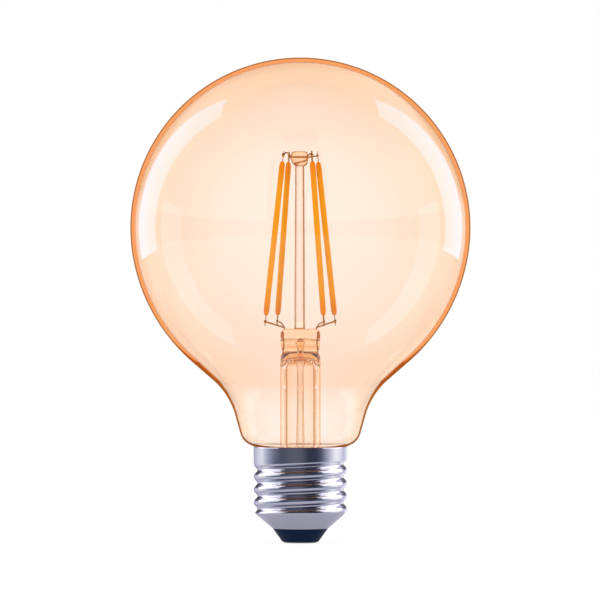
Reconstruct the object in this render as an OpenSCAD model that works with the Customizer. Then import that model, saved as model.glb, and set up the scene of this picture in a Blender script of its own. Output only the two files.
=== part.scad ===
// Smart filament lamp: an amber glass globe on an E27 screw cap, with four LED
// filaments standing in a cone round a glass rod, and the driver and radio
// boards in the cap. Millimetres, +Z up along the lamp's axis.
// The origin is the middle of the flat face of the bottom contact.

/* [Globe] */
// Outer diameter of the glass globe
globe_d = 95; // [93:1:96]
// Length of the lamp from the bottom contact to the top of the globe
lamp_length = 135.5; // [134.5:0.5:138]
// Thickness of the blown glass
glass_wall = 1; // [0.7:0.1:1.2]
// Slope of the glass cone under the globe, in degrees from the axis
cone_slope = 49; // [47:1:51]
// Slope of the neck above the cap, in degrees from the axis
neck_slope = 15.5; // [14:0.5:17]
// Radius of the hollow curve between the cone and the neck
throat_curve_r = 20.5; // [18:0.5:22]

/* [Screw cap] */
// Height of the cap with its insulator and contact
cap_height = 26.9; // [26.7:0.1:27.2]
// Outer diameter over the crests of the rolled thread
thread_crest_d = 26.05; // [26.05:0.01:26.1]
// Outer diameter at the roots of the rolled thread
thread_root_d = 24; // [23.96:0.02:24.26]
// Rise of the thread in one turn
thread_pitch = 3.629; // [3.5:0.001:3.7]
// Outer diameter of the plain collar over the thread
collar_d = 26.1; // [26.1:0.05:26.4]
// Thickness of the cap's sheet metal
sheet_t = 0.3; // [0.2:0.05:0.35]

/* [Stem] */
// Outer diameter of the flared glass tube
stem_d = 11.2; // [10.8:0.1:11.6]
// Inner diameter of the flared glass tube
stem_bore = 8.7; // [8.4:0.1:8.8]
// Outer diameter of the exhaust tube
exhaust_d = 2.6; // [2.4:0.1:3]
// Diameter of the glass rod at its foot
rod_foot_d = 2.9; // [2.6:0.1:3.2]
// Diameter of the glass rod under the bead
rod_top_d = 2.5; // [2.2:0.1:2.6]
// Diameter of the glass bead that holds the top wires
bead_d = 4.9; // [4.6:0.1:5.4]

/* [Filaments] */
// Diameter of a filament's phosphor coating
filament_d = 1.6; // [1.5:0.1:2]
// Radius of the circle on which the filaments' feet stand
foot_circle_r = 11.5; // [11:0.5:12.5]
// Radius of the circle of the filaments' tops
top_circle_r = 6; // [5.5:0.5:7]
// Diameter of the two lead wires
lead_d = 0.5; // [0.4:0.05:0.6]
// Diameter of the thinner support wires
support_d = 0.4; // [0.3:0.05:0.5]

/* [Driver] */
// Diameter of the round driver board
board_d = 20.6; // [20:0.1:21.2]
// Thickness of both circuit boards
board_t = 1; // [0.8:0.1:1.2]
// Height of the driver board's underside over the contact
board_z = 10; // [9.8:0.1:10.4]

/* [Hidden] */
$fn = 64;

gap = 0.02;                                // air between a part and the hole it sits in
eps = 0.01;                                // how far a cut runs past a face

globe_r = globe_d / 2;
globe_z = lamp_length - globe_r;           // height of the globe's centre
fuller_below = 10;                         // degrees under the equator where the globe gets fuller
fuller_by = 2.8;                           // how much longer the radius is from there down
shoulder_r = 16.8;                         // where the neck turns in towards the cap
shoulder_z = 30.6;
shoulder_curve_r = 5.2;
shoulder_slope = 56;
collar_r = collar_d / 2;
cap_rim_z = cap_height;
neck_r = 11.4;                             // sealed neck of the envelope, hidden in the cap
seal_z = 19.6;                             // where the neck and the flare are fused

stem_r = stem_d / 2;
stem_bore_r = stem_bore / 2;
stem_wall = stem_r - stem_bore_r;
flare_z = 28.5;                            // where the stem tube starts to flare
flare_curve_r = 9;
flare_slope = 60;
cavity_top_z = 51.2;                       // roof of the hollow under the press
press_z = 53.2;                            // foot of the flat pressed part
press_head_z = 56.9;                       // foot of the rounder head over it
stem_top_z = 59.75;
press_half_t = 1.9;                        // half thickness of the pressed part
head_half_t = 2.7;
port_z = 55.6;                             // the exhaust tube's port through the press
exhaust_bore_r = exhaust_d / 2 - 0.45;
exhaust_tip_z = 14.6;

bead_foot_z = 105.2;
bead_top_z = 109.3;
upper_bridge_z = 107.7;
lower_bridge_z = 106.6;

first_turn = 33.7;                         // direction of the back right filament
foot_z = 63.6;                             // ends of the coated part, along the axis
top_z = 106.4;
lean = atan((foot_circle_r - top_circle_r) / (top_z - foot_z));
coat_l = (top_z - foot_z) / cos(lean);
coat_tip_l = 1;                            // length of the coating's tapered ends
strip_w = 0.8;
strip_t = 0.35;
chip_t = 0.15;
chip_l = 0.7;
chips = 24;
tab_l = 3;                                 // free length of an end tab
tab_t = 0.2;
tab_w = 0.6;
tab_reach = 1.8;                           // how far along a tab the wire is welded

shell_foot_z = 4;                          // bottom edge of the metal shell
shell_foot_r = 7.75;
shell_cone_slope = 49.2;
collar_edge_z = 22.6;                      // mean height of the collar's lower edge
collar_edge_tilt = 0.4;                    // its rise and fall as it follows the thread
collar_join_z = 23.5;                      // where the plain collar takes over from the thread
thread_top_z = collar_join_z + 0.3;        // the thread's sheet ends inside the collar's wall
thread_z = 9.4;                            // height of a crest on the +X side
contact_r = 4.6;
contact_t = 0.8;
contact_pin_r = 1.2;
live_wire_r = 0.3;
live_wire_x = contact_pin_r + live_wire_r + gap; // the live wire is clamped beside the contact's pin
insulator_top_z = 6.2;
liner_r = 11.3;
liner_t = 0.4;
liner_z = 8.6;
liner_top_z = 18.4;
board_r = board_d / 2;
board_top_z = board_z + board_t;
lead_hole_x = 3.85;                        // where the lead wires pass through the driver board
radio_y = 3;                               // front face of the upright radio board
radio_w = 9;
radio_top_z = board_top_z + 10.4;

// Points of a circular arc from angle a0 to a1
function arc(centre, r, a0, a1, steps) =
    [for (i = [0:steps]) let (a = a0 + (a1 - a0) * i / steps) centre + r * [cos(a), sin(a)]];
function smooth(x) = let (t = min(max(x, 0), 1)) t * t * (3 - 2 * t);
function polar(r, turn, z) = [r * cos(turn), r * sin(turn), z];
function unit(v) = v / norm(v);

// Centres of the envelope's arcs, shared by its outer and inner surfaces
below_centre = [0, globe_z] + fuller_by * [-cos(fuller_below), sin(fuller_below)];
cone_start = below_centre + (globe_r + fuller_by) * [cos(cone_slope), -sin(cone_slope)];
throat_z = (cone_start[1] * tan(cone_slope) - cone_start[0] + shoulder_r - shoulder_z * tan(neck_slope))
    / (tan(cone_slope) - tan(neck_slope));
throat_r = shoulder_r + (throat_z - shoulder_z) * tan(neck_slope);
throat_cut = throat_curve_r * tan((cone_slope - neck_slope) / 2);
throat_centre = [throat_r, throat_z] + throat_cut * [sin(cone_slope), cos(cone_slope)]
    + throat_curve_r * [cos(cone_slope), -sin(cone_slope)];
shoulder_centre = [shoulder_r, shoulder_z] - shoulder_curve_r * [cos(neck_slope), -sin(neck_slope)];

// One side of the glass, at depth t under its outer surface, from the crown to the shoulder
function glass_side(t) = concat(
    arc([0, globe_z], globe_r - t, 90, -fuller_below, 36),
    arc(below_centre, globe_r + fuller_by - t, -fuller_below - 3, -cone_slope, 13),
    arc(throat_centre, throat_curve_r + t, 180 - cone_slope, 180 - neck_slope, 12),
    arc(shoulder_centre, shoulder_curve_r - t, -neck_slope, -shoulder_slope, 8)
);

function reversed(points) = [for (i = [len(points) - 1:-1:0]) points[i]];

// A round wire along a path: a closed tube with 8 sides, its caps square to its ends
wire_sides = 8;
function path_direction(path, i) = unit(
    i == 0 ? path[1] - path[0] :
    i == len(path) - 1 ? path[i] - path[i - 1] :
    unit(path[i] - path[i - 1]) + unit(path[i + 1] - path[i]));
function wire_ring(path, i, r, beside) =
    let (t = path_direction(path, i), u = unit(cross(beside, t)), v = cross(t, u))
    [for (k = [0:wire_sides - 1]) let (a = 360 * k / wire_sides) path[i] + r * (cos(a) * u + sin(a) * v)];
module wire(path, r, beside = [0, 1, 0]) {
    last = len(path) - 1;
    polyhedron(
        points = [for (i = [0:last]) each wire_ring(path, i, r, beside)],
        faces = concat(
            [[for (k = [0:wire_sides - 1]) k]],
            [[for (k = [wire_sides - 1:-1:0]) last * wire_sides + k]],
            [for (i = [0:last - 1], k = [0:wire_sides - 1])
                let (a = i * wire_sides + k, b = i * wire_sides + (k + 1) % wire_sides)
                each [[a, a + wire_sides, b + wire_sides], [a, b + wire_sides, b]]]));
}

// Filaments are counted anticlockwise from the back right one
function filament_turn(i) = first_turn + 90 * i;
function foot_weld(i) =
    polar(foot_circle_r + tab_reach * sin(lean), filament_turn(i), foot_z - tab_reach * cos(lean));
function top_weld(i) =
    polar(top_circle_r - tab_reach * sin(lean), filament_turn(i), top_z + tab_reach * cos(lean));
// The end of a wire that comes to a tab from the axis and stops at the tab's face
function inside_tab(weld, i) = weld - (tab_t / 2 + 0.1) * polar(1, filament_turn(i), 0);

module at_filament(i) {
    rotate([0, 0, filament_turn(i)]) translate([foot_circle_r, 0, foot_z]) rotate([0, -lean, 0]) children();
}

// Routes of the wires
function lead_path(side, i) = [
    [side * lead_hole_x, 0, board_z - 0.8], [side * lead_hole_x, 0, cavity_top_z - 0.6],
    [side * 4.5, 0, press_z + 0.4], [side * 4.4, 0, stem_top_z + 0.35], inside_tab(foot_weld(i), i)];
function branch_path(side, i) = [
    [side * 4.4, 0, stem_top_z + 0.35] + (lead_d / 2 + gap) * unit(foot_weld(i) - [side * 4.4, 0, stem_top_z]),
    inside_tab(foot_weld(i), i) - polar(2.2, filament_turn(i), 0.5), inside_tab(foot_weld(i), i)];
// A bridge runs straight through the bead at height z, then out to two opposite tabs
function bridge_path(i, z, kick_a, kick_b) = [
    inside_tab(top_weld(i), i), polar(top_circle_r - 1.3, filament_turn(i), top_z + kick_a),
    polar(bead_d / 2 + 0.3, filament_turn(i), z), polar(-bead_d / 2 - 0.3, filament_turn(i), z),
    polar(top_circle_r - 1.3, filament_turn(i + 2), top_z + kick_b), inside_tab(top_weld(i + 2), i + 2)];
upper_bridge_path = bridge_path(0, upper_bridge_z, 1.6, 2.7);
lower_bridge_path = bridge_path(1, lower_bridge_z, 1.1, 2.3);

module globe_envelope() {
    outer = concat(glass_side(0), [
        [collar_r + 0.25, cap_rim_z + 0.1], [collar_r - 0.5, cap_rim_z + 0.05],
        [neck_r, cap_rim_z - 1.05], [neck_r, seal_z]]);
    inner = concat(glass_side(glass_wall), [
        [neck_r - glass_wall, cap_rim_z - 0.8], [neck_r - glass_wall, seal_z]]);
    color([0.99, 0.8, 0.6, 0.35]) rotate_extrude() polygon(concat(outer, reversed(inner)));
}

// The flared tube, fused to the neck at its rim and pressed flat on the lead wires at its top
module stem_flare() {
    flare_centre = [stem_r + flare_curve_r, flare_z];
    tube = concat(
        [[neck_r, seal_z], [neck_r - 1.1, seal_z]],
        arc(flare_centre, flare_curve_r, 180 + flare_slope, 180, 10),
        [[stem_r, cavity_top_z - 0.4], [stem_r - 0.2, cavity_top_z + 0.6],
         [stem_r - 0.7, press_z + 0.3], [0, press_z + 0.3]],
        [[0, cavity_top_z], [stem_bore_r - 1, cavity_top_z], [stem_bore_r, cavity_top_z - 1]],
        arc(flare_centre, flare_curve_r + stem_wall, 180, 180 + flare_slope, 10),
        [[neck_r - 1.4, seal_z - 1], [neck_r, seal_z - 1]]);
    color([0.99, 0.85, 0.68, 0.4]) difference() {
        union() {
            rotate_extrude() polygon(tube);
            intersection() {
                translate([0, 0, press_z]) cylinder(r = stem_r - 0.15, h = press_head_z - press_z + 0.1);
                translate([-stem_r, -press_half_t, press_z])
                    cube([stem_d, 2 * press_half_t, press_head_z - press_z + 0.1]);
            }
            intersection() {
                rotate_extrude() polygon(concat(
                    [[0, press_head_z], [stem_r - 0.05, press_head_z]],
                    arc([stem_r - 1.45, stem_top_z - 1.4], 1.4, 0, 90, 6),
                    [[0, stem_top_z]]));
                translate([-stem_r, -head_half_t, press_head_z])
                    cube([stem_d, 2 * head_half_t, stem_top_z - press_head_z + 1]);
            }
        }
        translate([0, 0, cavity_top_z - eps]) cylinder(r = exhaust_bore_r, h = port_z - cavity_top_z);
        translate([0, eps, port_z]) rotate([90, 0, 0]) cylinder(r = exhaust_bore_r, h = stem_r);
        wire(lead_path(-1, 2), lead_d / 2 + gap);
        wire(lead_path(1, 0), lead_d / 2 + gap);
    }
}

// Exhaust tube, sealed off at its lower end once the lamp is filled
module exhaust_tube() {
    r = exhaust_d / 2;
    color([0.99, 0.87, 0.7, 0.4]) rotate_extrude() polygon([
        [0, exhaust_tip_z], [0.5 * r, exhaust_tip_z + 0.2], [r, exhaust_tip_z + 1.6], [r, 47],
        [r - 0.25, 49], [r - 0.1, cavity_top_z], [exhaust_bore_r, cavity_top_z],
        [exhaust_bore_r - 0.15, 49], [exhaust_bore_r, 47],
        [exhaust_bore_r, exhaust_tip_z + 2.2], [0, exhaust_tip_z + 1.4]]);
}

module centre_rod() {
    color([0.98, 0.83, 0.66, 0.4]) translate([0, 0, stem_top_z])
        cylinder(d1 = rod_foot_d, d2 = rod_top_d, h = bead_foot_z - stem_top_z);
}

// Glass bead melted round the two bridge wires, which cross inside it without touching
module top_bead() {
    r = bead_d / 2;
    color([0.96, 0.7, 0.42, 0.5]) difference() {
        rotate_extrude() polygon([
            [0, bead_foot_z], [rod_top_d / 2, bead_foot_z], [r - 0.75, bead_foot_z + 0.6],
            [r - 0.2, bead_foot_z + 1.4], [r, bead_foot_z + 2.3], [r - 0.1, bead_foot_z + 3],
            [r - 0.45, bead_top_z - 0.3], [r - 0.85, bead_top_z], [0, bead_top_z]]);
        wire(upper_bridge_path, support_d / 2 + gap, [0, 0, 1]);
        wire(lower_bridge_path, support_d / 2 + gap, [0, 0, 1]);
    }
}

// Silicone and phosphor coating of a filament, hollow where its strip and chips lie
module filament(i) {
    r = filament_d / 2;
    color("darkorange") at_filament(i) difference() {
        rotate_extrude() polygon([
            [0, 0], [0.55 * r, 0], [0.85 * r, 0.35], [r, coat_tip_l], [r, coat_l - coat_tip_l],
            [0.85 * r, coat_l - 0.35], [0.55 * r, coat_l], [0, coat_l]]);
        translate([-strip_t / 2, -strip_w / 2, -eps]) cube([strip_t + chip_t, strip_w, coat_l + 2 * eps]);
    }
}

// Ceramic strips that carry the chips, one in each filament
module filament_strips() {
    color("ivory") for (i = [0:3]) at_filament(i)
        translate([-strip_t / 2, -strip_w / 2, 0.6]) cube([strip_t, strip_w, coat_l - 1.2]);
}

module led_chips() {
    step = (coat_l - 3) / (chips - 1);
    color("gold") for (i = [0:3], k = [0:chips - 1]) at_filament(i)
        translate([strip_t / 2, -chip_l / 4, 1.5 + k * step - chip_l / 2]) cube([chip_t, chip_l / 2, chip_l]);
}

// Flat metal tabs at both ends of each filament, notched where the wires are welded on
module filament_tabs() {
    color("silver") for (i = [0:3]) at_filament(i) for (end = [-tab_l, coat_l - 0.6])
        translate([-tab_t / 2, -tab_w / 2, end]) cube([tab_t, tab_w, tab_l + 0.6]);
}

module left_lead_wire() {
    color("dimgray") wire(lead_path(-1, 2), lead_d / 2);
}

module right_lead_wire() {
    color("dimgray") wire(lead_path(1, 0), lead_d / 2);
}

module left_branch_wire() {
    color("dimgray") wire(branch_path(-1, 1), support_d / 2, [0, 0, 1]);
}

module right_branch_wire() {
    color("dimgray") wire(branch_path(1, 3), support_d / 2, [0, 0, 1]);
}

module upper_bridge_wire() {
    color("dimgray") wire(upper_bridge_path, support_d / 2, [0, 0, 1]);
}

module lower_bridge_wire() {
    color("dimgray") wire(lower_bridge_path, support_d / 2, [0, 0, 1]);
}

// Outer radius of the rolled sheet at direction a and height z, up to the plain collar
function thread_r(a, z) = (thread_crest_d + thread_root_d) / 4
    + (thread_crest_d - thread_root_d) / 4 * cos(360 * (z - thread_z) / thread_pitch - a);
function under_collar(a, z) =
    let (w = smooth(z - collar_edge_z - collar_edge_tilt * cos(a) + 0.5))
    (1 - w) * thread_r(a, z) + w * (collar_r - 0.05);
function shell_cone_r(z) = shell_foot_r + (z - shell_foot_z) * tan(shell_cone_slope);
function shell_outer_r(a, z) = min(under_collar(a, z), shell_cone_r(z));
function shell_inner_r(a, z) =
    min(under_collar(a, z) - sheet_t + 0.1 * smooth(z - collar_join_z + 0.6),
        shell_cone_r(z) - sheet_t / cos(shell_cone_slope));

// Screw shell: rolled thread and cone as one closed sheet, joined to the plain collar with its rolled rim
module cap_shell() {
    turns = 40;
    steps = 36;
    cone_top_z = 7.6;
    heights = concat([shell_foot_z, 5.8],
        [for (k = [0:steps]) cone_top_z + (thread_top_z - cone_top_z) * k / steps]);
    rows = len(heights);
    inner = rows * turns;
    color([0.78, 0.78, 0.84]) union() {
        polyhedron(
            points = concat(
                [for (z = heights, k = [0:turns - 1]) polar(shell_outer_r(360 * k / turns, z), 360 * k / turns, z)],
                [for (z = heights, k = [0:turns - 1]) polar(shell_inner_r(360 * k / turns, z), 360 * k / turns, z)]),
            faces = concat(
                [for (j = [0:rows - 2], k = [0:turns - 1])
                    let (a = j * turns + k, b = j * turns + (k + 1) % turns)
                    each [[a, a + turns, b + turns], [a, b + turns, b],
                          [inner + a, inner + b + turns, inner + a + turns], [inner + a, inner + b, inner + b + turns]]],
                [for (k = [0:turns - 1], top = [0, 1])
                    let (a = top * inner - top * turns + k, b = top * inner - top * turns + (k + 1) % turns)
                    each top == 1 ? [[a, inner + a, inner + b], [a, inner + b, b]]
                                  : [[a, b, inner + b], [a, inner + b, inner + a]]]));
        rotate_extrude() polygon([
            [collar_r - sheet_t, collar_join_z], [collar_r, collar_join_z], [collar_r, cap_rim_z - 0.3],
            [collar_r - 0.1, cap_rim_z - 0.08], [collar_r - sheet_t, cap_rim_z]]);
    }
}

// Dark insulator moulded into the shell's bottom edge, with a recess for the contact and a hole for its pin
module cap_insulator() {
    inner_foot_r = shell_foot_r - sheet_t / cos(shell_cone_slope) - 0.07;
    color([0.05, 0.07, 0.16]) difference() {
        rotate_extrude() polygon([
            [0, contact_t], [contact_r + gap, contact_t], [contact_r + gap, 0.25],
            [4.95, 0.25], [5.2, 0.5], [shell_foot_r, shell_foot_z - gap], [inner_foot_r, shell_foot_z - gap],
            [inner_foot_r + (insulator_top_z - shell_foot_z) * tan(shell_cone_slope), insulator_top_z],
            [6.5, insulator_top_z], [5.5, insulator_top_z - 1.4], [0, insulator_top_z - 1.4]]);
        cylinder(r = contact_pin_r + gap, h = insulator_top_z);
        translate([live_wire_x, 0, contact_t + 0.4]) cylinder(r = live_wire_r + gap, h = insulator_top_z);
    }
}

// Nail-shaped contact: a flat head and a pin pressed into the insulator
module centre_contact() {
    color([0.8, 0.78, 0.72]) rotate_extrude() polygon([
        [0, 0], [contact_r - 0.25, 0], [contact_r, 0.25], [contact_r, contact_t], [contact_pin_r, contact_t],
        [contact_pin_r, 4.2], [contact_pin_r - 0.4, 4.6], [0, 4.6]]);
}

// Cement that holds the glass neck in the collar
module basing_cement() {
    color([0.86, 0.82, 0.74]) rotate_extrude() polygon([
        [neck_r, thread_top_z], [collar_r - sheet_t, thread_top_z], [collar_r - sheet_t, cap_rim_z - 0.05],
        [collar_r - 0.55, cap_rim_z - 0.05], [neck_r, cap_rim_z - 1.1]]);
}

module insulating_liner() {
    color("whitesmoke") difference() {
        translate([0, 0, liner_z]) cylinder(r = liner_r, h = liner_top_z - liner_z);
        translate([0, 0, liner_z - eps]) cylinder(r = liner_r - liner_t, h = liner_top_z - liner_z + 2 * eps);
    }
}

// Positions on the driver board
capacitor_at = [-4.6, -5.0];
capacitor_d = 6.3;
inductor_at = [4.6, -4.9];
inductor_d = 6;
resistor_at = [0, 7.6];
resistor_d = 2.4;
resistor_l = 6.4;
bridge_at = [0, 6.6];
driver_chip_at = [3.6, -3.6];
pin_xs = [-3, -1, 1, 3];
neutral_x = 9;

module driver_board() {
    color([0.1, 0.42, 0.22]) difference() {
        translate([0, 0, board_z]) cylinder(r = board_r, h = board_t);
        for (x = [-lead_hole_x, lead_hole_x])
            translate([x, 0, board_z - 1]) cylinder(d = lead_d + 0.1, h = board_t + 2);
        for (x = pin_xs)
            translate([x, radio_y - 0.35, board_z - 1]) cylinder(d = 0.6, h = board_t + 2);
        for (x = [live_wire_x, neutral_x])
            translate([x, 0, board_z - 1]) cylinder(d = 0.7, h = board_t + 2);
    }
}

// Electrolytic capacitor: can with a rolled groove over its rubber bung and a scored vent on top
module bulk_capacitor() {
    r = capacitor_d / 2;
    h = 7;
    color([0.13, 0.16, 0.3]) translate([capacitor_at[0], capacitor_at[1], board_top_z]) difference() {
        rotate_extrude() polygon([
            [0, 0.15], [r - 0.6, 0.15], [r - 0.4, 0], [r, 0.2], [r, 0.9], [r - 0.3, 1.2], [r, 1.5],
            [r, h - 0.3], [r - 0.3, h], [0, h]]);
        for (a = [0, 60, 120])
            rotate([0, 0, a]) translate([-0.6 * r, -0.1, h - 0.2]) cube([1.2 * r, 0.2, 1]);
    }
}

module inductor_core() {
    r = inductor_d / 2;
    color([0.2, 0.2, 0.21]) translate([inductor_at[0], inductor_at[1], board_top_z])
        rotate_extrude() polygon([
            [0, 0], [r, 0], [r, 0.9], [r - 1.3, 0.9], [r - 1.3, 4.6], [r, 4.6], [r, 5.5], [0, 5.5]]);
}

module inductor_winding() {
    r = inductor_d / 2;
    color("peru") translate([inductor_at[0], inductor_at[1], board_top_z])
        rotate_extrude() polygon([
            [r - 1.3, 0.9], [r - 0.4, 0.9], [r - 0.25, 1.2], [r - 0.25, 4.3], [r - 0.4, 4.6], [r - 1.3, 4.6]]);
}

// Moulded chip hanging under the driver board, its lower edges chamfered
module moulded_chip(size) {
    rotate([90, 0, 90]) translate([0, 0, -size[0] / 2]) linear_extrude(size[0]) polygon([
        [-size[1] / 2, 0], [size[1] / 2, 0], [size[1] / 2, -size[2] + 0.4],
        [size[1] / 2 - 0.4, -size[2]], [-size[1] / 2 + 0.4, -size[2]], [-size[1] / 2, -size[2] + 0.4]]);
}

module bridge_rectifier() {
    color([0.12, 0.12, 0.13]) translate([bridge_at[0], bridge_at[1], board_z - 0.1]) moulded_chip([4.7, 3.8, 1.7]);
}

module driver_chip() {
    color([0.12, 0.12, 0.13]) translate([driver_chip_at[0], driver_chip_at[1], board_z - 0.1])
        moulded_chip([4.9, 3.9, 1.5]);
}

// Gull-wing leg that leaves a chip's side in +Y and stands on the board's underside
module chip_leg() {
    rotate([90, 0, 90]) translate([0, 0, -0.2]) linear_extrude(0.4) polygon([
        [0, -0.75], [0.45, -0.75], [0.6, -0.12], [1.1, -0.12], [1.1, 0], [0.5, 0], [0.35, -0.6], [0, -0.6]]);
}

module chip_legs() {
    color("silver") {
        for (x = [-1.3, 1.3], side = [0, 180])
            translate([bridge_at[0], bridge_at[1], board_z]) rotate([0, 0, side]) translate([x, 1.9, 0]) chip_leg();
        for (k = [-1.5:1:1.5], side = [0, 180])
            translate([driver_chip_at[0], driver_chip_at[1], board_z])
                rotate([0, 0, side]) translate([1.27 * k, 1.95, 0]) chip_leg();
    }
}

// Fusible resistor lying on the board, with its domed end caps and bent leads
module fusible_resistor() {
    r = resistor_d / 2;
    half = resistor_l / 2;
    color([0.35, 0.5, 0.42]) translate([resistor_at[0], resistor_at[1], board_top_z + r + 0.1]) {
        rotate([0, 90, 0]) rotate_extrude() polygon([
            [0, -half], [0.6 * r, -half], [r, -half + 0.4], [r, -half + 1.2], [0.88 * r, -half + 1.5],
            [0.88 * r, half - 1.5], [r, half - 1.2], [r, half - 0.4], [0.6 * r, half], [0, half]]);
        for (side = [-1, 1])
            wire([[side * (half - 0.1), 0, 0], [side * (half + 0.4), 0, 0],
                  [side * (half + 0.7), 0, -0.3], [side * (half + 0.7), 0, -r - 0.1]], 0.25);
    }
}

module ceramic_capacitors() {
    color("tan") for (at = [[-7, -3.2], [-7, -1.6], [-1.4, -5.4], [-1.4, -7], [5.6, 3.6]])
        translate([at[0] - 0.8, at[1] - 0.4, board_z - 0.8]) cube([1.6, 0.8, 0.8]);
}

module radio_board() {
    color([0.08, 0.25, 0.45]) translate([-radio_w / 2, radio_y, board_top_z])
        cube([radio_w, board_t, radio_top_z - board_top_z]);
}

// Pressed metal can over the radio chip
module radio_shield() {
    color("lightgray") difference() {
        translate([-3, radio_y + board_t, board_top_z + 1]) cube([6, 1.3, 6]);
        translate([-2.85, radio_y + board_t - eps, board_top_z + 1.15]) cube([5.7, 1.15, 5.7]);
    }
}

module radio_crystal() {
    color("silver") translate([-1, radio_y + board_t, board_top_z + 1.6]) cube([2, 0.6, 1.6]);
}

// Meander trace of the radio's aerial, above the shield
module radio_antenna() {
    run_w = 0.3;
    run_h = 2.3;
    run_step = 0.9;
    runs = 8;
    foot = board_top_z + 7.6;
    color("goldenrod") for (k = [0:runs - 1]) translate([-3.3 + k * run_step, radio_y + board_t, foot]) {
        cube([run_w, 0.1, run_h]);
        if (k < runs - 1) translate([0, 0, k % 2 == 0 ? run_h - run_w : 0]) cube([run_step + run_w, 0.1, run_w]);
    }
}

module board_pins() {
    color("gold") for (x = pin_xs)
        translate([x - 0.2, radio_y - 0.55, board_z - 0.7]) cube([0.4, 0.4, board_t + 2.4]);
}

module live_wire() {
    color("firebrick") translate([live_wire_x, 0, contact_t + 0.4]) cylinder(r = live_wire_r, h = board_top_z - 0.7);
}

// From the driver board out to the screw shell, under the liner's edge
module neutral_wire() {
    color("navy") wire([[neutral_x, 0, board_top_z + 0.5], [neutral_x, 0, 9], [9.5, 0, 8.1], [11, 0, 7.8]], 0.3);
}

// Sleeves over the lead wires between the boards and the stem's mouth
module lead_sleeves() {
    color("floralwhite") for (x = [-lead_hole_x, lead_hole_x]) translate([x, 0, board_top_z + 0.1]) difference() {
        cylinder(d = 1.1, h = 8);
        translate([0, 0, -eps]) cylinder(d = lead_d + 0.05, h = 9);
    }
}

globe_envelope();
stem_flare();
exhaust_tube();
centre_rod();
top_bead();
filament(0);  // filament_back_right
filament(1);  // filament_back_left
filament(2);  // filament_front_left
filament(3);  // filament_front_right
filament_strips();
led_chips();
filament_tabs();
left_lead_wire();
right_lead_wire();
left_branch_wire();
right_branch_wire();
upper_bridge_wire();
lower_bridge_wire();
cap_shell();
cap_insulator();
centre_contact();
basing_cement();
insulating_liner();
driver_board();
bulk_capacitor();
inductor_core();
inductor_winding();
bridge_rectifier();
driver_chip();
chip_legs();
fusible_resistor();
ceramic_capacitors();
radio_board();
radio_shield();
radio_crystal();
radio_antenna();
board_pins();
live_wire();
neutral_wire();
lead_sleeves();
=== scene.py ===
"""Smart filament lamp: an amber glass globe on a screw cap, with four filaments round a glass rod.

Lengths are worked out in millimetres, as on the drawing of the lamp, and each mesh is made in metres.
The lamp's axis is Z, and the origin is the middle of the flat bottom contact.
"""

import math

import bmesh
import bpy
import numpy as np
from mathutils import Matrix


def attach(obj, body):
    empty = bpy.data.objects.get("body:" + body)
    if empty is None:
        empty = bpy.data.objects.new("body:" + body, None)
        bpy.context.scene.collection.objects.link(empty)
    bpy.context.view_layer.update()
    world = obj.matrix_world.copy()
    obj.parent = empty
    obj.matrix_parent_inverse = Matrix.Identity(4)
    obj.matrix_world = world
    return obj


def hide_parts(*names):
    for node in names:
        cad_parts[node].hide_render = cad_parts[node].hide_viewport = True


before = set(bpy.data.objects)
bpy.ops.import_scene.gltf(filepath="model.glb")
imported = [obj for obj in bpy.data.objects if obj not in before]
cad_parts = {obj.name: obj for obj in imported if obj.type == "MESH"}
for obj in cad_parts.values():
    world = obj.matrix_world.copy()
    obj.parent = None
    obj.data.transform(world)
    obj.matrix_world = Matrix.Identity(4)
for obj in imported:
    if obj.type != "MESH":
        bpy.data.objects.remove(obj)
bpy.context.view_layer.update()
MM = 0.001


# ---------------------------------------------------------------------------------------------
# Camera and studio. The lamp is seen from its front, level with the middle of its height. It stands
# on a plain white floor in a white room that is dark in front of the lamp. A tall soft box stands
# behind it on each side, and a wide panel beside it lights the cap.

camera_away = 1600
view_width = 167.64
view_z = 67.8
camera = bpy.data.objects.new("camera", bpy.data.cameras.new("camera"))
camera.data.sensor_width = 36
camera.data.lens = camera.data.sensor_width * camera_away / view_width
camera.data.clip_start = 0.05
camera.location = (-0.11 * MM, -camera_away * MM, view_z * MM)
camera.rotation_euler = (math.radians(90), 0, 0)
bpy.context.scene.collection.objects.link(camera)
bpy.context.scene.camera = camera
bpy.context.scene.view_settings.view_transform = "Standard"
bpy.context.scene.cycles.max_bounces = 40
bpy.context.scene.cycles.transmission_bounces = 40
bpy.context.scene.cycles.glossy_bounces = 12


class Value:
    """One socket of a shader. Sums, products and powers of values add its Math nodes."""

    def __init__(self, shader, socket):
        self.shader, self.socket = shader, socket

    def __add__(self, other):
        return self.shader.math("ADD", self, other)

    def __sub__(self, other):
        return self.shader.math("SUBTRACT", self, other)

    def __rsub__(self, other):
        return self.shader.math("SUBTRACT", other, self)

    def __mul__(self, other):
        return self.shader.math("MULTIPLY", self, other)

    def __truediv__(self, other):
        return self.shader.math("DIVIDE", self, other)

    def __pow__(self, other):
        return self.shader.math("POWER", self, other)

    __radd__, __rmul__ = __add__, __mul__


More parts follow.
